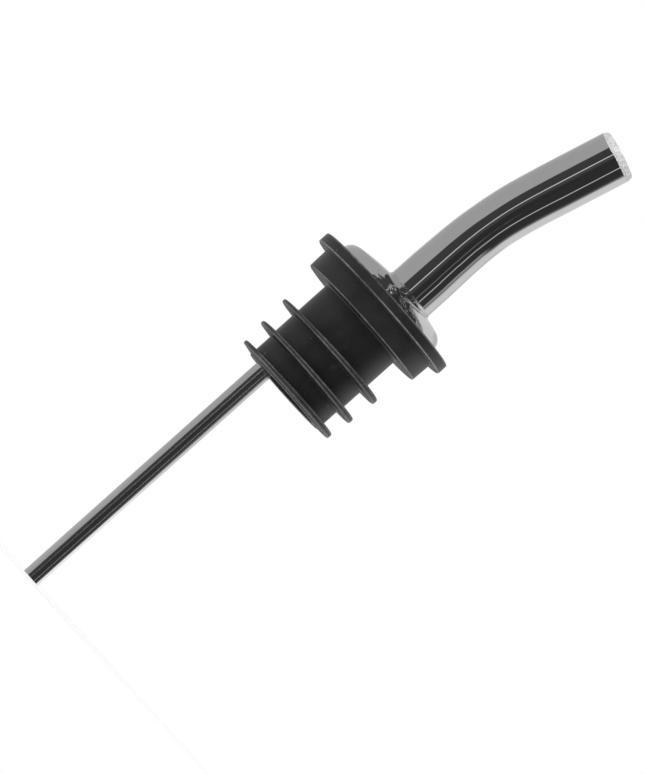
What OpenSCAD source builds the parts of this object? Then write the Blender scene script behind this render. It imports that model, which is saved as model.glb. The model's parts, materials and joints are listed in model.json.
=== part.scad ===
// Liquor pour spout, in millimetres.
// The origin is on the stopper's axis, in the plane that seats on the bottle's mouth.
// +Z points up the stopper towards the spout, and the spout bends towards +X.

/* [Stopper] */
// Radius of the wide flange under the dome
flange_r = 14.3; // [13.5:0.1:16]
// Thickness of the wide flange
flange_h = 1.9; // [1.6:0.05:3]
// Radius of the shoulder ring at its lower edge, which seats on the bottle's mouth
shoulder_r = 12.3; // [11.8:0.1:13]
// Height of the shoulder ring
shoulder_h = 3.7; // [2.5:0.1:5]
// Radius of the stem between the fins
stem_r = 8.2; // [8.1:0.05:8.6]
// Length of the stem below the seat plane
stem_l = 16.65; // [16.6:0.05:18]
// Radius of the top fin, which seals first
top_fin_r = 11.05; // [10.6:0.05:11.6]
// Step in radius from the top fin to the middle fin
middle_fin_step = 0.3; // [0.1:0.05:0.5]
// Step in radius from the top fin to the bottom fin
bottom_fin_step = 0.75; // [0.5:0.05:1.2]
// Depth of the top fin's centre below the seat plane
top_fin_depth = 6.85; // [6:0.05:6.9]
// Spacing from the top fin to the middle fin
upper_fin_pitch = 4.9; // [4.4:0.05:4.9]
// Spacing from the middle fin to the bottom fin
lower_fin_pitch = 4.15; // [3.8:0.05:4.15]

/* [Head] */
// Radius of the dome where it meets the flange
dome_r = 11.05; // [10.9:0.05:12]
// Height of the dome at its centre
dome_h = 3.35; // [3.3:0.05:3.8]
// Radius of the dome's crown curve
crown_r = 40; // [38:1:60]
// Radius of the dome's rounded shoulder
dome_shoulder_r = 2.3; // [2.1:0.05:2.35]
// Thickness of the stamped and drawn sheet
sheet_t = 0.5; // [0.4:0.05:0.6]

/* [Spout] */
// Distance of the spout's foot from the stopper's axis
spout_x = 1.84; // [1.6:0.02:1.9]
// Outer radius of the spout's foot
foot_r = 4.58; // [4.5:0.02:4.6]
// Outer radius of the bent and upper part of the spout
tube_r = 4.4; // [4.2:0.02:4.45]
// Wall thickness of the spout
spout_wall = 0.5; // [0.4:0.05:0.6]
// Height above the seat plane at which the bend starts
bend_z = 18.5; // [16:0.1:24]
// Radius of the bend's centre line
bend_r = 62; // [40:1:70]
// Angle of the bend
bend_angle = 14.2; // [10:0.1:20]
// Length of the straight part above the bend
tip_l = 15.8; // [14:0.1:20]
// Length of the bevelled rim at the tip
rim_l = 0.9; // [0.6:0.1:1.2]

/* [Vent tube] */
// Distance of the vent tube's axis from the stopper's axis, away from the pouring side
vent_x = 4.75; // [4.75:0.01:4.77]
// Outer radius of the vent tube
vent_r = 1.65; // [1.5:0.01:1.65]
// Bore radius of the vent tube
vent_bore_r = 1.25; // [1:0.05:1.3]
// Depth of the vent tube's lower end below the seat plane
vent_depth = 66.6; // [50:0.1:80]

/* [Core] */
// Outer radius of the core tube
core_r = 6.87; // [6.87:0.01:6.88]
// Bore radius of the core tube
core_bore_r = 6.45; // [6.45:0.01:6.48]
// How far the core tube's lower end stays up inside the stopper
core_recess = 0.8; // [0:0.1:2]
// Radius of the core tube's flared top
flare_r = 8.2; // [7.8:0.1:9]
// Radial clearance between parts that turn or slide on each other
running = 0.03; // [0.02:0.01:0.05]

/* [Hidden] */
$fn = 96;

black_rubber = "#1d1d1e";
polished_steel = "#c9cacc";
drawn_steel = "#a9abae";
solder = "#dcdcd8";

past = 1;                            // how far a cutting tool runs past a face
flange_top = shoulder_h + flange_h;  // the plane that the head rests on
edge_r = 0.4;                        // rounding of the flange's and the shoulder's edges
root_r = 0.35;                       // rounding where the stem meets the shoulder
shoulder_draft = 0.1;                // how much wider the shoulder ring is at its top
fin_root_h = 1.5;                    // thickness of a fin at the stem
fin_tip_h = 0.9;                     // thickness of a fin at its rounded tip
fin_edge_r = 0.3;                    // rounding of a fin's two tip edges
stem_step = 0.15;                    // how much narrower the stem is below the middle fin
arc_steps = 6;                       // straight steps in each rounded corner
dome_steps = 10;                     // straight steps in each of the dome's curves

fin_radii = [top_fin_r, top_fin_r - middle_fin_step, top_fin_r - bottom_fin_step];
middle_fin_depth = top_fin_depth + upper_fin_pitch;
fin_depths = [top_fin_depth, middle_fin_depth, middle_fin_depth + lower_fin_pitch];
dome_top = flange_top + dome_h;
dome_shoulder_x = dome_r - dome_shoulder_r;
crown_z = dome_top - crown_r;
// the shoulder's arc touches the crown's arc from inside
dome_shoulder_z = crown_z + sqrt(pow(crown_r - dome_shoulder_r, 2) - pow(dome_shoulder_x, 2));
crown_angle = asin(dome_shoulder_x / (crown_r - dome_shoulder_r));
dome_slope = asin(spout_x / crown_r);

foot_bottom = dome_top - 1.2;        // the spout's foot ends inside the dome
foot_top = dome_top + 0.4;           // straight foot, and above it the taper
plate_top = flange_top + sheet_t;
plate_edge_r = dome_r - sheet_t - 0.1;  // the plate stops short of the dome's inward curve
rim_reduction = 0.35;                // how much the bevel narrows the tip
fillet_w = 0.35;                     // width of the solder round the spout's foot
bend_step = 0.01;                    // how much the bend stands proud of the straight parts

// Points of an arc about [x, z], from angle a0 to angle a1
function arc(x, z, r, a0, a1, steps) =
    [for (i = [0:steps]) let(a = a0 + (a1 - a0) * i / steps) [x + r * cos(a), z + r * sin(a)]];

// Half outline of what the dome's outer surface holds, shrunk inwards by inset, down to height low
function dome_outline(inset, low) = concat(
    [[0, low], [dome_r - inset, low]],
    arc(dome_shoulder_x, dome_shoulder_z, dome_shoulder_r - inset, 0, 90 - crown_angle, dome_steps),
    arc(0, crown_z, crown_r - inset, 90 - crown_angle * 0.9, 90, dome_steps));

// One sealing fin, thinner towards its rounded tip, with a short straight land on its edge
module fin(r, z) {
    tip = fin_tip_h / 2;
    rotate_extrude()
        polygon(concat(
            [[core_r + past / 2, z - fin_root_h / 2], [stem_r - stem_step, z - fin_root_h / 2]],
            arc(r - fin_edge_r, z - tip + fin_edge_r, fin_edge_r, -90, 0, arc_steps),
            arc(r - fin_edge_r, z + tip - fin_edge_r, fin_edge_r, 0, 90, arc_steps),
            [[stem_r - stem_step, z + fin_root_h / 2], [core_r + past / 2, z + fin_root_h / 2]]));
}

// The flange, the shoulder ring and the stem, as one turned outline
module stopper_body() {
    bore = core_r + running;
    low_r = stem_r - stem_step;
    step_z = -middle_fin_depth;
    rotate_extrude()
        polygon(concat(
            [[bore, -stem_l], [low_r, -stem_l], [low_r, step_z], [stem_r, step_z]],
            arc(stem_r + root_r, -root_r, root_r, 180, 90, arc_steps),
            arc(shoulder_r - edge_r, edge_r, edge_r, -90, 0, arc_steps),
            [[shoulder_r + shoulder_draft, shoulder_h]],
            arc(flange_r - edge_r, shoulder_h + edge_r, edge_r, -90, 0, arc_steps),
            arc(flange_r - edge_r, flange_top - edge_r, edge_r, 0, 90, arc_steps),
            [[bore, flange_top]]));
}

module stopper() {
    color(black_rubber)
        union() {
            stopper_body();
            for (i = [0:2]) fin(fin_radii[i], -fin_depths[i]);
        }
}

// The drawn tube that the stopper is pushed on to, with its top flared over the base plate
module core_tube() {
    low = core_recess - stem_l;
    top = plate_top + running + sheet_t;
    color(drawn_steel)
        difference() {
            union() {
                translate([0, 0, low])
                    cylinder(h = top - low, r = core_r);
                translate([0, 0, plate_top + running])
                    cylinder(h = sheet_t, r = flare_r);
            }
            translate([0, 0, low - past])
                cylinder(h = top - low + 2 * past, r = core_bore_r);
        }
}

// The disc that closes the dome's underside
module base_plate() {
    color(drawn_steel)
        translate([0, 0, flange_top])
            difference() {
                cylinder(h = sheet_t, r = plate_edge_r);
                translate([0, 0, -past])
                    cylinder(h = sheet_t + 2 * past, r = core_r + running);
            }
}

// The solder seam in the corner between the base plate and the dome
module rim_braze() {
    seam = 0.6;
    color(solder)
        intersection() {
            translate([0, 0, plate_top])
                rotate_extrude()
                    polygon([[plate_edge_r - seam, 0], [dome_r, 0], [dome_r, seam]]);
            rotate_extrude() polygon(dome_outline(sheet_t, flange_top));
        }
}

// The stamped cap, with a hole for the spout and one for the vent tube
module dome() {
    color(polished_steel)
        difference() {
            rotate_extrude() polygon(dome_outline(0, flange_top));
            rotate_extrude() polygon(dome_outline(sheet_t, flange_top - past));
            translate([spout_x, 0, flange_top])
                cylinder(h = dome_h + past, r = foot_r);
            translate([-vent_x, 0, flange_top])
                cylinder(h = dome_h + past, r = vent_r);
        }
}

// A straight length of tube whose outer radius goes from r1 to r2, with wall w1 at r1 and w2 at r2
module pipe(h, r1, r2, w1, w2) {
    rotate_extrude() polygon([[r1 - w1, 0], [r1, 0], [r2, h], [r2 - w2, h]]);
}

// Puts its children where the bend ends, with +Z along the upper part of the spout
module above_bend() {
    translate([spout_x + bend_r, 0, bend_z])
        rotate([0, bend_angle, 0])
            translate([-bend_r, 0, 0]) children();
}

// The bend, a hair thicker than the straight parts that it joins
module spout_bend() {
    translate([spout_x + bend_r, 0, bend_z])
        rotate([-90, 0, 0])
            rotate([0, 0, 180])
                rotate_extrude(angle = bend_angle)
                    translate([bend_r, 0])
                        difference() {
                            circle(r = tube_r + bend_step);
                            circle(r = tube_r - spout_wall - bend_step);
                        }
}

module spout_tube() {
    w = spout_wall;
    plain_l = tip_l - rim_l;
    color(polished_steel)
        union() {
            translate([spout_x, 0, foot_bottom]) pipe(foot_top - foot_bottom, foot_r, foot_r, w, w);
            translate([spout_x, 0, foot_top]) pipe(bend_z - foot_top, foot_r, tube_r, w, w);
            spout_bend();
            above_bend() pipe(plain_l, tube_r, tube_r, w, w);
            above_bend() translate([0, 0, plain_l])
                pipe(rim_l, tube_r, tube_r - rim_reduction, w, w - rim_reduction);
        }
}

// The solder fillet round the spout's foot. It turns about the crown's own radius, so that it lies
// evenly on the dome's slope, and a film's thickness keeps it off the dome and the spout.
module spout_braze() {
    film = 0.02;
    inner = foot_r + film;
    outer = inner + fillet_w;
    function on_crown(r) = sqrt(crown_r * crown_r - r * r) + film / 2;
    color(solder)
        translate([0, 0, crown_z])
            rotate([0, dome_slope, 0])
                rotate_extrude()
                    polygon(concat(
                        [[inner, on_crown(inner)]],
                        arc(outer, on_crown(inner) + fillet_w, fillet_w, -90, -180, arc_steps)));
}

// The long breather tube, from far below the stopper to the dome's surface, where it is dressed flush
module vent_tube() {
    cut_l = vent_depth + dome_top + past;
    color(polished_steel)
        difference() {
            intersection() {
                translate([-vent_x, 0, -vent_depth]) cylinder(h = cut_l, r = vent_r);
                rotate_extrude() polygon(dome_outline(0, -vent_depth));
            }
            translate([-vent_x, 0, -vent_depth - past]) cylinder(h = cut_l + past, r = vent_bore_r);
        }
}

// The solder ring under the dome that holds the vent tube
module vent_braze() {
    ring_w = 0.3;
    ring_z = dome_top - 1.6;
    color(solder)
        difference() {
            intersection() {
                translate([-vent_x, 0, ring_z]) cylinder(h = dome_h, r = vent_r + ring_w);
                rotate_extrude() polygon(dome_outline(sheet_t, flange_top));
            }
            translate([-vent_x, 0, ring_z - past]) cylinder(h = dome_h + 2 * past, r = vent_r);
        }
}

stopper();
core_tube();
base_plate();
rim_braze();
dome();
spout_tube();
spout_braze();
vent_tube();
vent_braze();
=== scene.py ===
import json
import math

import bpy
import numpy as np
from mathutils import Matrix, Vector
from mathutils.geometry import delaunay_2d_cdt


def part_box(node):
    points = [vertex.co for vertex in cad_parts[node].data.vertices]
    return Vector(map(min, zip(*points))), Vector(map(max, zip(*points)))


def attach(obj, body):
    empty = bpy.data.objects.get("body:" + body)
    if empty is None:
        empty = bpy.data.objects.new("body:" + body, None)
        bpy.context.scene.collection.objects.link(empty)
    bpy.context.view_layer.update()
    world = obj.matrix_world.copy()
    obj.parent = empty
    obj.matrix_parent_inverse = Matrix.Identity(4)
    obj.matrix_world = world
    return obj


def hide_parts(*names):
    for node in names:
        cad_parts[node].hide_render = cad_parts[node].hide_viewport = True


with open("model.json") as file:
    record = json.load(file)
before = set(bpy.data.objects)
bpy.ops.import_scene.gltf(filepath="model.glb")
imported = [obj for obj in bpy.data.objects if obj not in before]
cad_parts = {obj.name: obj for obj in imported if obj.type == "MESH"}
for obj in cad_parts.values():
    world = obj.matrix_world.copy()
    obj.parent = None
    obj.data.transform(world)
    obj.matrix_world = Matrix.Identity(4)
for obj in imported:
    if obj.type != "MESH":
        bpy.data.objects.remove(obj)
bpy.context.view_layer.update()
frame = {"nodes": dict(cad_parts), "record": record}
MM = 0.001


def extent(node):
    """A CAD node's box in millimetres: lowest and highest corner."""
    low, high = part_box(node)
    return np.array(low) / MM, np.array(high) / MM


def smooth(t):
    t = np.clip(t, 0, 1)
    return t * t * (3 - 2 * t)


def wave(angle, seed, terms):
    """A slow, repeatable wobble round an axis, from -1 to 1. terms gives the turns of each wave."""
    total = sum(np.sin(k * angle + seed * (1.7 + 0.9 * i)) / (i + 1) for i, k in enumerate(terms))
    return total / sum(1 / (i + 1) for i in range(len(terms)))


# ---------------------------------------------------------------- sizes, from the frame

stopper_low, stopper_high = extent("stopper")
_, dome_high = extent("dome")
vent_low, vent_high = extent("vent_tube")
spout_low, _ = extent("spout_tube")

mounts = {m["name"]: m for m in frame["record"]["mounts"]}
tip_mount = mounts["spout_tip"]
tip_axis = np.array(tip_mount["axis"])
tip_mid = np.array(tip_mount["pos_m"]) / MM
BEND = math.acos(tip_axis[2])
RIM_L = 0.9                                   # length of the bevelled rim
tip_centre = tip_mid + tip_axis * (tip_mount["dims"]["length_mm"] / 2 + RIM_L)

FLANGE_R = stopper_high[0]
FLANGE_TOP = stopper_high[2]
STEM_END = stopper_low[2]
SHOULDER_H = 3.7
SHOULDER_R = 12.3                             # the shoulder ring's radius at its underside
SHOULDER_TOP_R = 12.4                         # and at its top
STEM_R = 8.2
LOW_STEM_R = 8.05
BORE_R = 6.9                                  # the stopper's bore
TOP_FIN_R = mounts["top_fin"]["dims"]["r_mm"]
TOP_FIN_Z = mounts["top_fin"]["pos_m"][2] / MM
FINS = [(TOP_FIN_R, TOP_FIN_Z), (TOP_FIN_R - 0.3, TOP_FIN_Z - 4.9), (TOP_FIN_R - 0.75, TOP_FIN_Z - 9.05)]

DOME_R = dome_high[0]
DOME_TOP = dome_high[2]
SHEET = 0.5                                   # thickness of the dome's sheet
CROWN_R = 40.0                                # radius of the dome's crown
SHOULDER_ARC = 2.3                            # radius of the dome's rounded shoulder
SPOUT_X = 1.84                                # how far the spout's foot is off the axis
FOOT_R = SPOUT_X - spout_low[0]
FOOT_Z = spout_low[2]
VENT_R = (vent_high[1] - vent_low[1]) / 2
VENT_X = (vent_low[0] + vent_high[0]) / 2
VENT_BORE = 1.25
VENT_N = 72                                   # points round the vent tube


# ---------------------------------------------------------------- mesh helpers

def make(name, verts, faces, uvs=None, sharp=38, edge=None):
    """A mesh object from points in millimetres. uvs gives one (around, along) pair per face corner, and
    edge how much each point takes the painted edge highlight, which is partly wear."""
    mesh = bpy.data.meshes.new(name)
    mesh.from_pydata([tuple(v) for v in np.asarray(verts) * MM], [], faces)
    if uvs is not None:
        layer = mesh.uv_layers.new(name="around_along")
        layer.data.foreach_set("uv", np.asarray(uvs, np.float32).ravel())
    if edge is not None:
        mesh.attributes.new("edge", "FLOAT", "POINT").data.foreach_set("value", np.asarray(edge, np.float32))
    mesh.shade_smooth()
    if sharp is not None:
        mesh.set_sharp_from_angle(angle=math.radians(sharp))
    mesh.update()
    obj = bpy.data.objects.new(name, mesh)
    bpy.context.scene.collection.objects.link(obj)
    return obj


def sheet_of(rows, closed=True):
    """Faces and corner uvs of a grid of points that wraps round, rows[i][j], and round its rows if closed."""
    rows = np.asarray(rows)
    n, m = rows.shape[:2]
    along = np.concatenate([[0], np.cumsum(np.linalg.norm(np.diff(rows, axis=0), axis=2).mean(1))])
    last = np.linalg.norm(rows[0] - rows[-1], axis=1).mean()
    along = np.append(along, along[-1] + last)
    faces, uvs = [], []
    for i in range(n if closed else n - 1):
        k = (i + 1) % n
        for j in range(m):
            p = (j + 1) % m
            faces.append((i * m + j, i * m + p, k * m + p, k * m + j))
            uvs += [(j / m, along[i]), ((j + 1) / m, along[i]),
                    ((j + 1) / m, along[i + 1]), (j / m, along[i + 1])]
    return rows.reshape(-1, 3), faces, uvs


def rounded(corners, step=14):
    """A closed outline of (r, z, edge) points with each corner (r, z, radius) rounded, and a short run beside
    each arc. edge sets the painted edge highlight: 1 on a sharp outward corner, 0.5 on a softer one, else 0."""
    out = []
    n = len(corners)
    for i, (x, z, radius) in enumerate(corners):
        p = np.array([x, z])
        a = np.array(corners[i - 1][:2]) - p
        b = np.array(corners[(i + 1) % n][:2]) - p
        la, lb = np.linalg.norm(a), np.linalg.norm(b)
        a, b = a / la, b / lb
        turn = math.acos(np.clip(np.dot(a, b), -1, 1))
        reach = min(radius / math.tan(turn / 2), 0.48 * la, 0.48 * lb)
        radius = reach * math.tan(turn / 2)
        centre = p + (a + b) / np.linalg.norm(a + b) * (radius / math.sin(turn / 2))
        start, end = p + a * reach - centre, p + b * reach - centre
        sweep = math.pi - turn
        side = math.copysign(1, start[0] * end[1] - start[1] * end[0])
        edge = [0.0 if side < 0 or sweep < 0.6 else 1.0 if radius < 0.21 else 0.5]
        support = min(0.06, 0.2 * reach + 0.01)
        if la > 2.4 * reach + support:
            out.append([*(p + a * (reach + support)), 0.0])
        count = max(3, int(math.degrees(sweep) / step) + 1)
        for k in range(count + 1):
            t = side * sweep * k / count
            c, s = math.cos(t), math.sin(t)
            arm = np.array([start[0] * c - start[1] * s, start[0] * s + start[1] * c])
            out.append([*(centre + arm), *edge])
        if lb > 2.4 * reach + support:
            out.append([*(p + b * (reach + support)), 0.0])
    return np.array(out)


def lathe(name, outline, steps, x=0.0, shift=None, sharp=38):
    """Turns a closed outline, anticlockwise in (r, z), about the vertical axis at x."""
    angle = np.arange(steps) * 2 * math.pi / steps
    r = np.repeat(outline[:, 0:1], steps, 1)
    z = np.repeat(outline[:, 1:2], steps, 1)
    a = np.repeat(angle[None, :], len(outline), 0)
    if shift is not None:
        r, z = shift(r, z, a)
    rows = np.stack([x + r * np.cos(a), r * np.sin(a), z], 2)
    return make(name, *sheet_of(rows), sharp=sharp, edge=np.repeat(outline[:, 2], steps))


# ---------------------------------------------------------------- material helpers

class Graph:
    """A short way to write shader nodes: each call makes a node and gives back its output."""

    def __init__(self, tree):
        self.tree = tree

    def node(self, kind, **settings):
        made = self.tree.nodes.new(kind)
        for key, value in settings.items():
            setattr(made, key, value)
        return made

    def feed(self, socket, value):
        if isinstance(value, bpy.types.NodeSocket):
            self.tree.links.new(value, socket)
        else:
            socket.default_value = value

    def math(self, op, a, b=0.0, clamp=False):
        n = self.node("ShaderNodeMath", operation=op, use_clamp=clamp)
        self.feed(n.inputs[0], a)
        self.feed(n.inputs[1], b)
        return n.outputs[0]

    def split(self, vector):
        n = self.node("ShaderNodeSeparateXYZ")
        self.feed(n.inputs[0], vector)
        return n.outputs

    def join(self, x, y, z):
        n = self.node("ShaderNodeCombineXYZ")
        for socket, value in zip(n.inputs, (x, y, z)):
            self.feed(socket, value)
        return n.outputs[0]

    def map(self, value, a, b, c, d, soft=False):
        n = self.node("ShaderNodeMapRange", interpolation_type="SMOOTHSTEP" if soft else "LINEAR", clamp=True)
        for socket, v in zip(n.inputs, (value, a, b, c, d)):
            self.feed(socket, v)
        return n.outputs[0]

    def scale(self, vector, by):
        n = self.node("ShaderNodeVectorMath", operation="MULTIPLY")
        self.feed(n.inputs[0], vector)
        self.feed(n.inputs[1], by)
        return n.outputs[0]

    def noise(self, vector, scale, detail=3.0, rough=0.5, twist=0.0):
        n = self.node("ShaderNodeTexNoise")
        self.feed(n.inputs["Vector"], vector)
        n.inputs["Scale"].default_value = scale
        n.inputs["Detail"].default_value = detail
        n.inputs["Roughness"].default_value = rough
        n.inputs["Distortion"].default_value = twist
        return n.outputs[0]

    def cells(self, vector, scale):
        n = self.node("ShaderNodeTexVoronoi")
        self.feed(n.inputs["Vector"], vector)
        n.inputs["Scale"].default_value = scale
        return n.outputs["Distance"], n.outputs["Color"]

    def ramp(self, value, stops, mode="LINEAR"):
        n = self.node("ShaderNodeValToRGB")
        n.color_ramp.interpolation = mode
        ramp = n.color_ramp.elements
        while len(ramp) < len(stops):
            ramp.new(0.5)
        for element, (place, colour) in zip(ramp, stops):
            element.position = place
            element.color = (*colour, 1) if isinstance(colour, tuple) else (colour, colour, colour, 1)
        self.feed(n.inputs[0], value)
        return n.outputs[0]

    def mix(self, factor, a, b):
        n = self.node("ShaderNodeMix", data_type="RGBA")
        self.feed(n.inputs[0], factor)
        self.feed(n.inputs[6], a)
        self.feed(n.inputs[7], b)
        return n.outputs[2]

    def bump(self, height, strength, distance, normal=None):
        n = self.node("ShaderNodeBump")
        n.inputs["Distance"].default_value = distance
        self.feed(n.inputs["Strength"], strength)
        self.feed(n.inputs["Height"], height)
        if normal is not None:
            self.feed(n.inputs["Normal"], normal)
        return n.outputs[0]

    def place(self):
        """The point on the piece, in millimetres."""
        return self.scale(self.node("ShaderNodeTexCoord").outputs["Object"], (1000, 1000, 1000))

    def around(self, radius):
        """The point on a turned or drawn piece with its length straightened out, in millimetres."""
        uv = self.split(self.node("ShaderNodeUVMap", uv_map="around_along").outputs[0])
        angle = self.math("MULTIPLY", uv[0], 2 * math.pi)
        return self.join(
            self.math("MULTIPLY", self.math("COSINE", angle), radius),
            self.math("MULTIPLY", self.math("SINE", angle), radius),
            uv[1],
        )


def material(name, metallic=0.0, **sockets):
    """A new material with a Principled shader: its graph and the shader's inputs."""
    mat = bpy.data.materials.new(name)
    mat.use_nodes = True
    mat.node_tree.nodes.clear()
    g = Graph(mat.node_tree)
    shader = g.node("ShaderNodeBsdfPrincipled")
    out = g.node("ShaderNodeOutputMaterial")
    mat.node_tree.links.new(shader.outputs[0], out.inputs[0])
    shader.inputs["Metallic"].default_value = metallic
    for key, value in sockets.items():
        shader.inputs[key.replace("_", " ")].default_value = value
    return mat, g, shader.inputs


def rubber():
    mat, g, to = material("moulded_rubber", IOR=1.5)
    to["Specular IOR Level"].default_value = 0.5
    p = g.place()
    cloud = g.noise(p, 0.22, 4, 0.55, 0.4)
    fine = g.noise(p, 1.6, 2, 0.6)
    grain = g.noise(p, 4.0, 1, 0.5)
    # The edge attribute lightens the base colour on corners: a painted edge highlight, partly real wear.
    edge_highlight = g.node("ShaderNodeAttribute", attribute_name="edge").outputs["Fac"]
    tone = g.ramp(g.math("ADD", g.math("MULTIPLY", cloud, 0.7), g.math("MULTIPLY", fine, 0.3)), [
        (0.30, (0.0145, 0.0145, 0.0150)), (0.52, (0.0195, 0.0193, 0.0195)), (0.72, (0.0275, 0.0267, 0.0253))])
    near, which = g.cells(p, 0.62)
    speck = g.math("MULTIPLY",
                   g.math("LESS_THAN", near, g.map(g.split(which)[0], 0.80, 1.0, 0.0, 0.20)),
                   g.map(g.noise(p, 14.0, 2), 0.35, 0.6, 0.3, 1.0))
    streak = g.noise(g.scale(p, (1.0, 1.0, 0.4)), 0.8, 6, 0.7, 1.2)
    scuff = g.math("MULTIPLY", g.map(streak, 0.56, 0.74, 0.0, 0.8, True), g.map(fine, 0.4, 0.6, 0.3, 1.0))
    dusty = g.mix(scuff, tone, (0.070, 0.062, 0.053, 1))
    patches = g.math("MULTIPLY", g.map(g.noise(p, 0.13, 2), 0.38, 0.62, 0.35, 1.0),
                     g.map(fine, 0.35, 0.65, 0.5, 1.0))
    # Corners mixed towards light grey: painted edge highlight, partly wear.
    highlit_and_worn = g.mix(g.math("MULTIPLY", edge_highlight, patches), dusty, (0.25, 0.25, 0.25, 1))
    g.feed(to["Base Color"], g.mix(g.math("MULTIPLY", speck, 0.6), highlit_and_worn, (0.20, 0.185, 0.16, 1)))
    rough = g.math("ADD", g.map(cloud, 0.3, 0.7, 0.36, 0.45), g.math("MULTIPLY", scuff, 0.30))
    g.feed(to["Roughness"], g.math("ADD", rough, g.map(grain, 0.3, 0.7, -0.03, 0.05)))
    flat = g.math("SUBTRACT", 1.0, edge_highlight)
    coarse = g.bump(fine, g.math("MULTIPLY", flat, 0.30), 0.00002)
    g.feed(to["Normal"], g.bump(grain, g.math("MULTIPLY", flat, 0.20), 0.000006, coarse))
    return mat


def polished(name, tint, radius, lengthwise, haze, ripple, dents=None):
    """Polished metal. lengthwise stretches its marks along the tube and ripple is how far its surface
    waves. dents gives the depth of its small hammered marks and the two places between which they set in."""
    mat, g, to = material(name, metallic=1.0)
    p = g.around(radius)
    drawn = g.scale(p, (1.0, 1.0, lengthwise))
    lines = g.noise(drawn, 3.5, 4, 0.6)
    hair = g.noise(g.scale(drawn, (1, 1, 0.5)), 6.0, 1, 0.5)
    cloud = g.noise(p, 0.30, 3, 0.5)
    low, high = tuple(c * 0.94 for c in tint), tint
    tone = g.math("ADD", g.math("MULTIPLY", cloud, 0.6), g.math("MULTIPLY", lines, 0.4))
    g.feed(to["Base Color"], g.ramp(tone, [(0.30, low), (0.70, high)]))
    wear = g.map(g.noise(p, 1.3, 6, 0.7, 0.8), 0.60, 0.78, 0.0, 0.05, True)
    near, which = g.cells(p, 0.30)
    speck = g.math("LESS_THAN", near, g.map(g.split(which)[0], 0.90, 1.0, 0.0, 0.035))
    rough = g.math("ADD", g.map(hair, 0.35, 0.70, haze, haze + 0.03), wear)
    g.feed(to["Roughness"], g.math("ADD", rough, g.math("MULTIPLY", speck, 0.5)))
    waves = g.bump(g.noise(drawn, 0.45, 2, 0.4), 0.5, ripple)
    if dents:
        depth, start, end = dents
        marks = g.noise(p, 0.9, 2, 0.6, 0.8)
        waves = g.bump(marks, g.map(g.split(p)[2], start, end, 0.04, 0.9, True), depth, waves)
    g.feed(to["Normal"], g.bump(hair, 0.10, 0.000002, waves))
    return mat


def brushed(name, tint, rough):
    """Plain drawn or rolled steel on a CAD node, marked in rings round the axis."""
    mat, g, to = material(name, metallic=1.0)
    x, y, z = g.split(g.place())
    r = g.math("SQRT", g.math("ADD", g.math("MULTIPLY", x, x), g.math("MULTIPLY", y, y)))
    rings = g.noise(g.join(g.math("MULTIPLY", r, 6.0), g.math("MULTIPLY", z, 6.0), 0.0), 1.0, 4, 0.6)
    cloud = g.noise(g.place(), 0.4, 4, 0.6, 0.5)
    low, high = tuple(c * 0.75 for c in tint), tint
    tone = g.math("ADD", g.math("MULTIPLY", cloud, 0.5), g.math("MULTIPLY", rings, 0.5))
    g.feed(to["Base Color"], g.ramp(tone, [(0.30, low), (0.68, high)]))
    g.feed(to["Roughness"], g.map(cloud, 0.3, 0.7, rough, rough + 0.14))
    g.feed(to["Normal"], g.bump(rings, 0.25, 0.00001))
    return mat


def solder():
    mat, g, to = material("bright_solder", metallic=1.0)
    p = g.place()
    lump = g.noise(p, 1.4, 2, 0.6, 0.6)
    fine = g.noise(p, 3.0, 1, 0.5)
    g.feed(to["Base Color"], g.ramp(lump, [(0.3, (0.60, 0.60, 0.59)), (0.7, (0.86, 0.86, 0.85))]))
    g.feed(to["Roughness"], g.map(fine, 0.3, 0.7, 0.10, 0.28))
    g.feed(to["Normal"], g.bump(fine, 0.2, 0.00001, g.bump(lump, 0.5, 0.00005)))
    return mat


# ---------------------------------------------------------------- stopper

def fin_corners(r, z, low_r, high_r):
    """Corners of one fin: a lens that thins towards a rounded tip."""
    return [
        (low_r, z - 0.54, 0.14), ((low_r + r) / 2, z - 0.46, 0.8), (r - 0.60, z - 0.42, 0.2),
        (r, z - 0.40, 0.26), (r, z + 0.40, 0.26),
        (r - 0.60, z + 0.42, 0.2), ((high_r + r) / 2, z + 0.46, 0.8), (high_r, z + 0.54, 0.14),
    ]


outline = [(BORE_R, STEM_END, 0.12), (LOW_STEM_R, STEM_END, 0.12)]
outline += fin_corners(*FINS[2], LOW_STEM_R, LOW_STEM_R)
outline += fin_corners(*FINS[1], LOW_STEM_R, STEM_R)
outline += fin_corners(*FINS[0], STEM_R, STEM_R)
outline += [
    (STEM_R, 0.0, 0.30), (SHOULDER_R, 0.0, 0.16), (SHOULDER_TOP_R, SHOULDER_H, 0.12),
    (FLANGE_R, SHOULDER_H, 0.20), (FLANGE_R, FLANGE_TOP, 0.24), (BORE_R, FLANGE_TOP, 0.10),
]


def rubber_shift(r, z, a):
    """Fins a little uneven in thickness and height, as soft rubber is."""
    for k, (fin_r, fin_z) in enumerate(FINS):
        near = (np.abs(z - fin_z) < 0.62) & (r > STEM_R - 0.1)
        out = smooth((r - STEM_R) / (fin_r - STEM_R)) * near
        z = z + out * (0.06 * wave(a, 1.3 + k, (1, 2, 3)) + (z - fin_z) * 0.24 * np.cos(a + 0.3))
        r = r + out * 0.05 * (wave(a, 4.1 + k, (2, 3, 5)) - 1)
    return r, z


stopper = lathe("rubber_stopper", rounded(outline), 192, shift=rubber_shift)
stopper.data.materials.append(rubber())
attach(stopper, "plug")
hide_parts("stopper")


# ---------------------------------------------------------------- dome

ARC_X = DOME_R - SHOULDER_ARC
CROWN_Z = DOME_TOP - CROWN_R
ARC_Z = CROWN_Z + math.sqrt((CROWN_R - SHOULDER_ARC) ** 2 - ARC_X ** 2)
CROWN_HALF = math.asin(ARC_X / (CROWN_R - SHOULDER_ARC))


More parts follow.
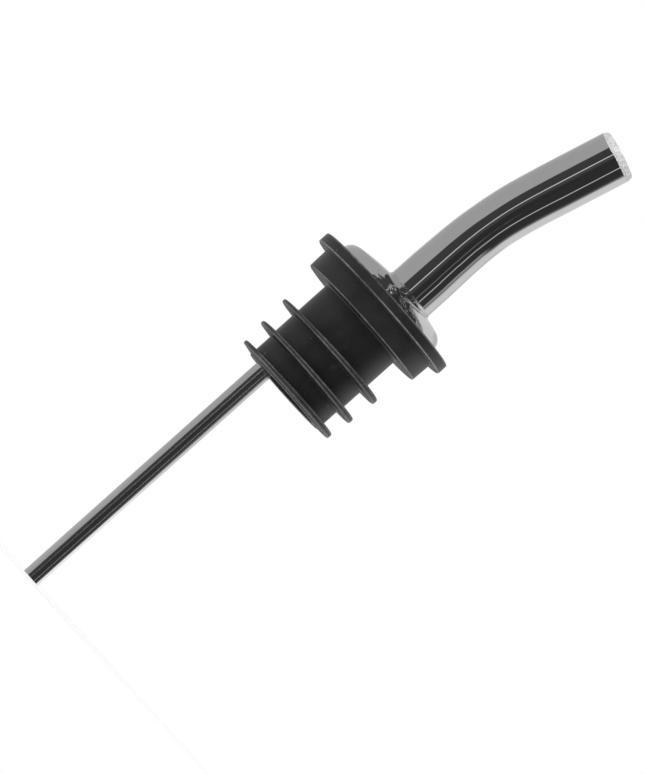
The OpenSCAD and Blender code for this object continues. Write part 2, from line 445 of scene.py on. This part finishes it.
def dome_point(s, inset=0.0):
    """(r, z, outward slope angle) at arc length s from the dome's middle, moved inwards by inset."""
    crown_l = CROWN_R * CROWN_HALF
    arc_l = SHOULDER_ARC * (math.pi / 2 - CROWN_HALF)
    tilt = np.where(s < crown_l, s / CROWN_R, CROWN_HALF + np.clip(s - crown_l, 0, arc_l) / SHOULDER_ARC)
    r = np.where(s < crown_l, (CROWN_R - inset) * np.sin(tilt), ARC_X + (SHOULDER_ARC - inset) * np.sin(tilt))
    z = np.where(s < crown_l, CROWN_Z + (CROWN_R - inset) * np.cos(tilt),
                 ARC_Z + (SHOULDER_ARC - inset) * np.cos(tilt))
    return r, z - np.clip(s - crown_l - arc_l, 0, None), tilt


def dome_length(r):
    return CROWN_R * np.arcsin(r / CROWN_R)


def ring(n, x, r):
    a = np.arange(n) * 2 * math.pi / n
    px, py = x + r * np.cos(a), r * np.sin(a)
    d = np.hypot(px, py)
    k = dome_length(d) / d
    return np.stack([px * k, py * k], 1)


full_l = CROWN_R * CROWN_HALF + SHOULDER_ARC * (math.pi / 2 - CROWN_HALF) + (ARC_Z - FLANGE_TOP)
holes = [(SPOUT_X, FOOT_R - 0.004, 120), (VENT_X, VENT_R - 0.004, 64)]
points, loops = [], []
for x, r, n in holes:
    loops.append(list(range(sum(map(len, points)), sum(map(len, points)) + n)))
    points.append(ring(n, x, r))
rim_n = 192
rim_a = np.arange(rim_n) * 2 * math.pi / rim_n
loops.append(list(range(sum(map(len, points)), sum(map(len, points)) + rim_n)))
points.append(np.stack([full_l * np.cos(rim_a), full_l * np.sin(rim_a)], 1))
lengths = np.concatenate([np.arange(1, 22) * 0.42, np.linspace(9.1, full_l - 0.06, 22)])
for i, s in enumerate(lengths):
    n = rim_n if s > 8.9 else max(12, int(2 * math.pi * s / 0.42))
    a = (np.arange(n) + 0.5 * (i % 2)) * 2 * math.pi / n
    p = np.stack([s * np.cos(a), s * np.sin(a)], 1)
    keep = np.ones(n, bool)
    for x, r, _ in holes:
        keep &= np.hypot(p[:, 0] - x, p[:, 1]) > r + 0.22
    points.append(p[keep])
flat = np.concatenate(points)
edges = [(loop[i], loop[(i + 1) % len(loop)]) for loop in loops for i in range(len(loop))]
flat_v, _, flat_f, _, _, _ = delaunay_2d_cdt([Vector(p) for p in flat], edges, [], 0, 1e-7)
flat_v = np.array([tuple(v) for v in flat_v])
s_all = np.hypot(flat_v[:, 0], flat_v[:, 1])
turn = np.arctan2(flat_v[:, 1], flat_v[:, 0])
top_r, top_z, tilt = dome_point(s_all)
low_r, low_z, _ = dome_point(s_all, SHEET)
low_z = np.maximum(low_z, FLANGE_TOP)
top = np.stack([top_r * np.cos(turn), top_r * np.sin(turn), top_z], 1)
low = np.stack([low_r * np.cos(turn), low_r * np.sin(turn), low_z], 1)
faces = []
for f in flat_f:
    c = top[list(f)].mean(0)
    if any(math.hypot(c[0] - x, c[1]) < r * 0.999 for x, r, _ in holes):
        continue
    a, b, d = (flat_v[i] for i in f)
    faces.append(f if (b[0] - a[0]) * (d[1] - a[1]) > (b[1] - a[1]) * (d[0] - a[0]) else f[::-1])
count = len(top)
used = {}
for f in faces:
    for i in range(3):
        used[(f[i], f[(i + 1) % 3])] = True
border = [e for e in used if (e[1], e[0]) not in used]
all_faces = [tuple(f) for f in faces]
all_faces += [tuple(i + count for i in f[::-1]) for f in faces]
all_faces += [(b, a, a + count, b + count) for a, b in border]
kept = sorted({i for f in all_faces for i in f})
index = {old: new for new, old in enumerate(kept)}
verts = np.concatenate([top, low])[kept]
all_faces = [tuple(index[i] for i in f) for f in all_faces]
corner = np.concatenate([np.stack([turn / (2 * math.pi), s_all], 1)] * 2)[kept]
uvs = []
for f in all_faces:
    part = corner[list(f)].copy()
    if part[:, 0].max() - part[:, 0].min() > 0.5:
        part[part[:, 0] < 0, 0] += 1
    uvs += [tuple(c) for c in part]
dome = make("polished_dome", verts, all_faces, uvs)
dome.data.materials.append(polished(
    "polished_dome_metal", (0.80, 0.80, 0.81), 4.0, 1.0, 0.035, 0.00001, dents=(0.00016, 9.4, 11.2)))
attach(dome, "head")
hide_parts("dome")


# ---------------------------------------------------------------- spout

def spout_radius(z):
    """(radius in the bend's plane, radius across it) at arc height z above the seat plane."""
    heights = [7.75, 13.5, 17.5, 21.5, 25.5, 27.5, 31.5, 35.5, 37.5, 60.0]
    in_plane = [4.58, 4.56, 4.46, 4.38, 4.30, 4.30, 4.345, 4.365, 4.395, 4.40]
    plain = [4.58, 4.56, 4.47, 4.42, 4.40, 4.40, 4.40, 4.40, 4.40, 4.40]
    a = np.interp(z, heights, in_plane)
    return a, 2 * np.interp(z, heights, plain) - a


def spine(middle, span, length):
    """Centre line of the spout: points, lean angles and arc heights."""
    s = np.linspace(0, length, 1201)
    h = FOOT_Z + s
    lean = BEND * smooth((h - (middle - span / 2)) / span)
    step = s[1] - s[0]
    mid_lean = (lean[1:] + lean[:-1]) / 2
    x = SPOUT_X + np.concatenate([[0], np.cumsum(np.sin(mid_lean) * step)])
    z = FOOT_Z + np.concatenate([[0], np.cumsum(np.cos(mid_lean) * step)])
    return x, z, lean, h


span, middle, length = 21.0, 26.0, 41.5
for _ in range(30):
    x, z, lean, h = spine(middle, span, length)
    short = (tip_centre[0] - x[-1]) * math.sin(BEND) + (tip_centre[2] - z[-1]) * math.cos(BEND)
    aside = (tip_centre[0] - x[-1]) * math.cos(BEND) - (tip_centre[2] - z[-1]) * math.sin(BEND)
    length += short
    middle -= aside / math.sin(BEND)

RIM_STEPS = 8
around_n = 128
stations = list(np.linspace(0, length - RIM_L - 0.8, 150))
WALL = 0.5
BEVEL = 0.35
theta = np.arange(around_n) * 2 * math.pi / around_n


def spout_ring(s, shrink, rough=0.0):
    at = np.clip(s, 0, length)
    cx, cz = np.interp(at, h - FOOT_Z, x), np.interp(at, h - FOOT_Z, z)
    tilt = np.interp(at, h - FOOT_Z, lean)
    a, b = spout_radius(FOOT_Z + at)
    across = (a - shrink) * np.cos(theta)
    depth = (b - shrink) * np.sin(theta)
    up = rough * wave(theta, 2.3, (3, 7, 13, 22))
    return np.stack([cx + across * np.cos(tilt) + up * np.sin(tilt), depth,
                     cz - across * np.sin(tilt) + up * np.cos(tilt)], 1)


front = smooth(-np.sin(theta))
border = length - RIM_L - 0.06 - 0.45 * front + 0.07 * wave(theta, 1.1, (5, 9, 16, 27))
rows = [spout_ring(s, 0.0) for s in stations]
rows += [spout_ring(border, 0.0), spout_ring(length - RIM_L, 0.0), spout_ring(length - RIM_L + 0.03, 0.02)]
rows += [
    spout_ring(length - RIM_L + (RIM_L - 0.05) * k / RIM_STEPS, 0.02 + (BEVEL - 0.05) * k / RIM_STEPS, 0.004)
    for k in range(1, RIM_STEPS)
]
rows += [spout_ring(length - 0.05, BEVEL - 0.03, 0.01), spout_ring(length - 0.012, BEVEL + 0.01, 0.01),
         spout_ring(length - 0.012, WALL - 0.03, 0.01), spout_ring(length - 0.05, WALL, 0.0)]
rows += [spout_ring(s, WALL) for s in stations[::-1] if s < length - 0.3]
spout = make("bent_spout", *sheet_of(rows), sharp=30)
spout.data.materials.append(polished("polished_spout_metal", (0.80, 0.80, 0.81), 4.4, 0.05, 0.02, 0.00002))


def painted_bright_rim():
    """The ground bevel at the tip, finely scored, in a pale colour with little metal: a painted reflection
    for its bright band.
    """
    mat, g, to = material("rim_painted_bright_metal", metallic=0.12)
    p = g.around(4.2)
    score = g.noise(g.scale(p, (1, 1, 0.6)), 2.2, 2, 0.6, 0.5)
    fine = g.noise(p, 5.0, 2, 0.6)
    # Pale grey base colour: painted reflection standing in for the bevel's bright band.
    g.feed(to["Base Color"], g.ramp(score, [(0.34, (0.58, 0.58, 0.58)), (0.64, (0.78, 0.78, 0.78))]))
    g.feed(to["Roughness"], g.map(fine, 0.3, 0.7, 0.30, 0.50))
    g.feed(to["Normal"], g.bump(score, 0.15, 0.00002))
    return mat


spout.data.materials.append(painted_bright_rim())
rim_first = len(stations)
for i, poly in enumerate(spout.data.polygons):
    if rim_first <= i // around_n < rim_first + RIM_STEPS + 5:
        poly.material_index = 1
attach(spout, "head")
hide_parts("spout_tube")


# ---------------------------------------------------------------- solder fillet round the spout's foot

fillet_n = 144
fillet_a = np.arange(fillet_n) * 2 * math.pi / fillet_n
fillet_rows = []
FILLET = [(-0.02, -0.12), (0.40, -0.10), (0.36, 0.03), (0.20, 0.07), (0.09, 0.17), (0.03, 0.36),
          (-0.02, 0.34)]
for part, (out_by, up_by) in enumerate(FILLET):
    size = 1 + 0.16 * wave(fillet_a, 0.7, (2, 5, 9)) + 0.07 * wave(fillet_a, 3.1 + part, (11, 17))
    rr = FOOT_R + out_by * size
    px, py = SPOUT_X + rr * np.cos(fillet_a), rr * np.sin(fillet_a)
    pz = CROWN_Z + np.sqrt(CROWN_R ** 2 - px ** 2 - py ** 2) + up_by * size
    fillet_rows.append(np.stack([px, py, pz], 1))
fillet = make("spout_solder_fillet", *sheet_of(fillet_rows), sharp=60)
fillet.data.materials.append(solder())
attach(fillet, "head")
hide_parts("spout_braze")


# ---------------------------------------------------------------- vent tube

vent_angle = np.arange(VENT_N) * 2 * math.pi / VENT_N


def vent_ring(r, z, dent=0.0):
    out = r + dent * wave(vent_angle, 5.2, (2, 5, 9))
    px, py = VENT_X + out * np.cos(vent_angle), out * np.sin(vent_angle)
    level = z if z is not None else CROWN_Z + np.sqrt(CROWN_R ** 2 - px ** 2 - py ** 2)
    return np.stack([px, py, np.full(VENT_N, 1.0) * level], 1)


low_z = vent_low[2]
heights = [low_z + 0.05, low_z + 0.10, low_z + 0.25] + list(np.linspace(low_z + 1.0, DOME_TOP - 1.4, 60))
vent_rows = [vent_ring(VENT_R, z) for z in heights]
vent_rows += [vent_ring(VENT_R, None)]
vent_rows += [vent_ring(VENT_BORE, None)]
vent_rows += [vent_ring(VENT_BORE, z) for z in heights[::-1]]
vent_rows += [vent_ring(VENT_BORE + 0.03, low_z + 0.012, 0.01), vent_ring(VENT_R - 0.04, low_z, 0.012)]
vent = make("long_vent_tube", *sheet_of(vent_rows), sharp=30)
vent.data.materials.append(polished("polished_vent_metal", (0.78, 0.78, 0.79), 1.65, 0.04, 0.13, 0.000004))
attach(vent, "head")
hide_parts("vent_tube")


# ---------------------------------------------------------------- CAD nodes that stay

def dress(node, mat):
    data = frame["nodes"][node].data
    data.materials.clear()
    data.materials.append(mat)


drawn = brushed("drawn_core_steel", (0.62, 0.62, 0.63), 0.24)
dress("core_tube", drawn)
dress("base_plate", brushed("rolled_plate_steel", (0.62, 0.62, 0.63), 0.28))
seam = solder()
seam.name = "seam_solder"
dress("rim_braze", seam)
dress("vent_braze", seam)


# ---------------------------------------------------------------- floor, light and camera

FLOOR_Z = vent_low[2] - 0.5
FLOOR_RINGS = (1.0, 60.0, 150.0, 300.0, 450.0)
floor_n = 96
floor_rows = []
for rr in FLOOR_RINGS:
    a = np.arange(floor_n) * 2 * math.pi / floor_n
    floor_rows.append(np.stack([rr * np.cos(a), rr * np.sin(a), np.full(floor_n, FLOOR_Z)], 1))
fv, ff, _ = sheet_of(floor_rows[::-1], closed=False)
ff = list(ff) + [tuple(range(4 * floor_n, 5 * floor_n))]
floor = make("studio_floor", fv, ff, None, None)
mat = bpy.data.materials.new("studio_floor_white")
mat.use_nodes = True
mat.node_tree.nodes.clear()
g = Graph(mat.node_tree)
place = g.place()
px, py, pz = g.split(place)
far = g.math("SQRT", g.math("ADD", g.math("MULTIPLY", px, px), g.math("MULTIPLY", py, py)))
body = g.node("ShaderNodeBsdfPrincipled")
paper = g.noise(place, 0.05, 4, 0.6)
g.feed(body.inputs["Base Color"], g.ramp(paper, [(0.3, 0.50), (0.7, 0.54)]))
body.inputs["Roughness"].default_value = 0.9
body.inputs["Specular IOR Level"].default_value = 0.1
body.inputs["Emission Color"].default_value = (1, 1, 1, 1)
g.feed(body.inputs["Emission Strength"], g.map(far, 120, 320, 0.55, 0.80, True))
clear = g.node("ShaderNodeBsdfTransparent")
shown = g.map(far, 300, 440, 1.0, 0.0, True)
under = g.node("ShaderNodeNewGeometry").outputs["Backfacing"]
seen = g.math("MULTIPLY", shown, g.math("SUBTRACT", 1.0, under))
blend = g.node("ShaderNodeMixShader")
g.feed(blend.inputs[0], seen)
g.feed(blend.inputs[1], clear.outputs[0])
g.feed(blend.inputs[2], body.outputs[0])
out = g.node("ShaderNodeOutputMaterial")
g.feed(out.inputs[0], blend.outputs[0])
floor.data.materials.append(mat)
floor.visible_glossy = False

# The studio, fixed in the room: a grey card to the left, a dark card in front with narrow gaps, a light card
# to the right, and soft white overhead, behind and below. The background that the camera sees is white.
world = bpy.data.worlds.new("studio")
bpy.context.scene.world = world
world.use_nodes = True
world.node_tree.nodes.clear()
g = Graph(world.node_tree)
dx, dy, dz = g.split(g.node("ShaderNodeTexCoord").outputs["Generated"])
back = g.math("MULTIPLY", dy, -1.0)
turned = g.math("MULTIPLY", g.math("DEGREES", g.math("ARCTAN2", dx, g.math("ADD", back, 1.0))), 2.0)
raised = g.math("DEGREES", g.math("ARCSINE", dz))
over = g.math("DEGREES", g.math("ARCTAN2", dz, back))


def by_degrees(value, stops):
    """A brightness for each angle from -180 to 180, from (degrees, brightness) stops."""
    share = g.math("DIVIDE", g.math("ADD", value, 180.0), 360.0)
    return g.ramp(share, [((d + 180) / 360, v) for d, v in stops])


swing = g.math("MULTIPLY", g.map(raised, 5, 90, 0.0, 66.0), g.map(turned, 0, 40, 0.0, 1.0))
left_swing = g.math("MULTIPLY", g.map(raised, 5, 50, 0.0, -13.0), g.map(turned, -30, -10, 1.0, 0.0))
swing = g.math("ADD", swing, left_swing)
swung = g.math("ADD", turned, swing)
level_cards = by_degrees(swung, [
    (-180, 0.62), (-150, 0.50), (-132, 0.42), (-100, 0.395), (-50, 0.40), (-48, 0.050), (-30, 0.050),
    (-14, 0.048), (-12.8, 0.80), (-11.2, 0.80), (-9.8, 0.068), (-2, 0.062), (6, 0.030), (20, 0.027),
    (26.5, 0.030), (28.5, 0.16), (30, 0.16), (32, 0.030), (45.8, 0.028), (47.2, 0.52), (49.2, 0.52),
    (50.8, 0.034), (76, 0.036), (80, 0.36), (83, 0.32), (88, 0.15), (93, 0.30), (97, 0.60), (104, 0.69),
    (134, 0.69), (146, 0.52), (180, 0.62),
])
low_cards = by_degrees(turned, [
    (-180, 0.62), (-50, 0.40), (-48, 0.050), (-14, 0.048), (-9, 0.062), (-2, 0.062), (6, 0.032),
    (48.3, 0.030), (49.6, 0.65), (51.2, 0.65), (52.6, 0.030), (85, 0.034), (93, 0.10), (98, 0.26),
    (103, 0.62), (110, 0.72), (180, 0.70),
])
lowered = g.mix(g.map(raised, 2.8, 0.2, 0.0, 1.0, True), level_cards, low_cards)
overhead_card = by_degrees(over, [
    (142, 0.05), (152, 0.10), (160, 0.24), (167, 0.57), (174, 0.80), (180, 0.90),
])
back_sky = g.math("MULTIPLY", g.map(over, 138, 146, 0.0, 1.0, True), g.map(raised, 0, 2, 0.0, 1.0, True))
back_sky = g.math("MULTIPLY", back_sky, g.map(g.math("ABSOLUTE", dx), 0.35, 0.55, 1.0, 0.0, True))
lifted = g.math("MAXIMUM", lowered, g.math("MULTIPLY", overhead_card, back_sky))
everywhere = g.mix(g.map(raised, -22, -28, 0.0, 1.0, True), lifted, (0.9, 0.9, 0.9, 1))
cam_ray = g.node("ShaderNodeLightPath").outputs["Is Camera Ray"]
final = g.mix(cam_ray, everywhere, (1.0, 1.0, 1.0, 1))
background = g.node("ShaderNodeBackground")
g.feed(background.inputs[0], final)
out = g.node("ShaderNodeOutputWorld")
g.feed(out.inputs[0], background.outputs[0])


def soft_box(name, azimuth, elevation, distance, wide, tall, energy, glossy=True):
    """An area light aimed at the stopper. Azimuth 0 is in front, towards -Y, and 90 is towards +X."""
    light = bpy.data.lights.new(name, "AREA")
    light.shape = "RECTANGLE"
    light.size, light.size_y = wide, tall
    light.energy = energy
    obj = bpy.data.objects.new(name, light)
    a, e = math.radians(azimuth), math.radians(elevation)
    obj.location = distance * Vector((math.sin(a) * math.cos(e), -math.cos(a) * math.cos(e), math.sin(e)))
    obj.rotation_euler = (-obj.location).to_track_quat("-Z", "Y").to_euler()
    obj.visible_camera = False
    obj.visible_glossy = glossy
    bpy.context.scene.collection.objects.link(obj)


soft_box("overhead_soft_box", 20, 72, 0.6, 0.5, 0.5, 2.5, glossy=False)
soft_box("low_left_back_light", -128, -27, 0.45, 0.30, 0.20, 3.0, glossy=False)
soft_box("low_left_front_light", -60, -35, 0.45, 0.25, 0.20, 2.2, glossy=False)
soft_box("low_right_back_light", 118, -30, 0.45, 0.25, 0.20, 2.0, glossy=False)
soft_box("front_soft_box", -15, 25, 0.6, 0.4, 0.4, 1.5, glossy=False)
soft_box("vent_side_box", 130, -13.5, 0.3, 0.36, 0.065, 0.025)

LEAN = 41.8                                   # the stopper's axis above the picture's horizontal, degrees
BELOW = 2.7                                   # degrees by which the camera looks up
DISTANCE = 1032.0                             # millimetres from the camera to the point it aims at
AIM = Vector((3.54, 0.0, -11.48))
e, r = math.radians(BELOW), math.radians(LEAN)
look = Vector((0, math.cos(e), math.sin(e)))
rise = Vector((0, -math.sin(e), math.cos(e)))
side = Vector((1, 0, 0))
right = math.cos(r) * rise + math.sin(r) * side
upward = math.sin(r) * rise - math.cos(r) * side
camera = bpy.data.cameras.new("studio_camera")
camera.lens = 300
camera.sensor_width = 36
camera.clip_start = 0.01
camera.clip_end = 10
camera_obj = bpy.data.objects.new("studio_camera", camera)
turn_matrix = Matrix((right, upward, -look)).transposed()
camera_obj.matrix_world = Matrix.Translation((AIM - look * DISTANCE) * MM) @ turn_matrix.to_4x4()
bpy.context.scene.collection.objects.link(camera_obj)
bpy.context.scene.camera = camera_obj
bpy.context.scene.view_settings.view_transform = "Standard"
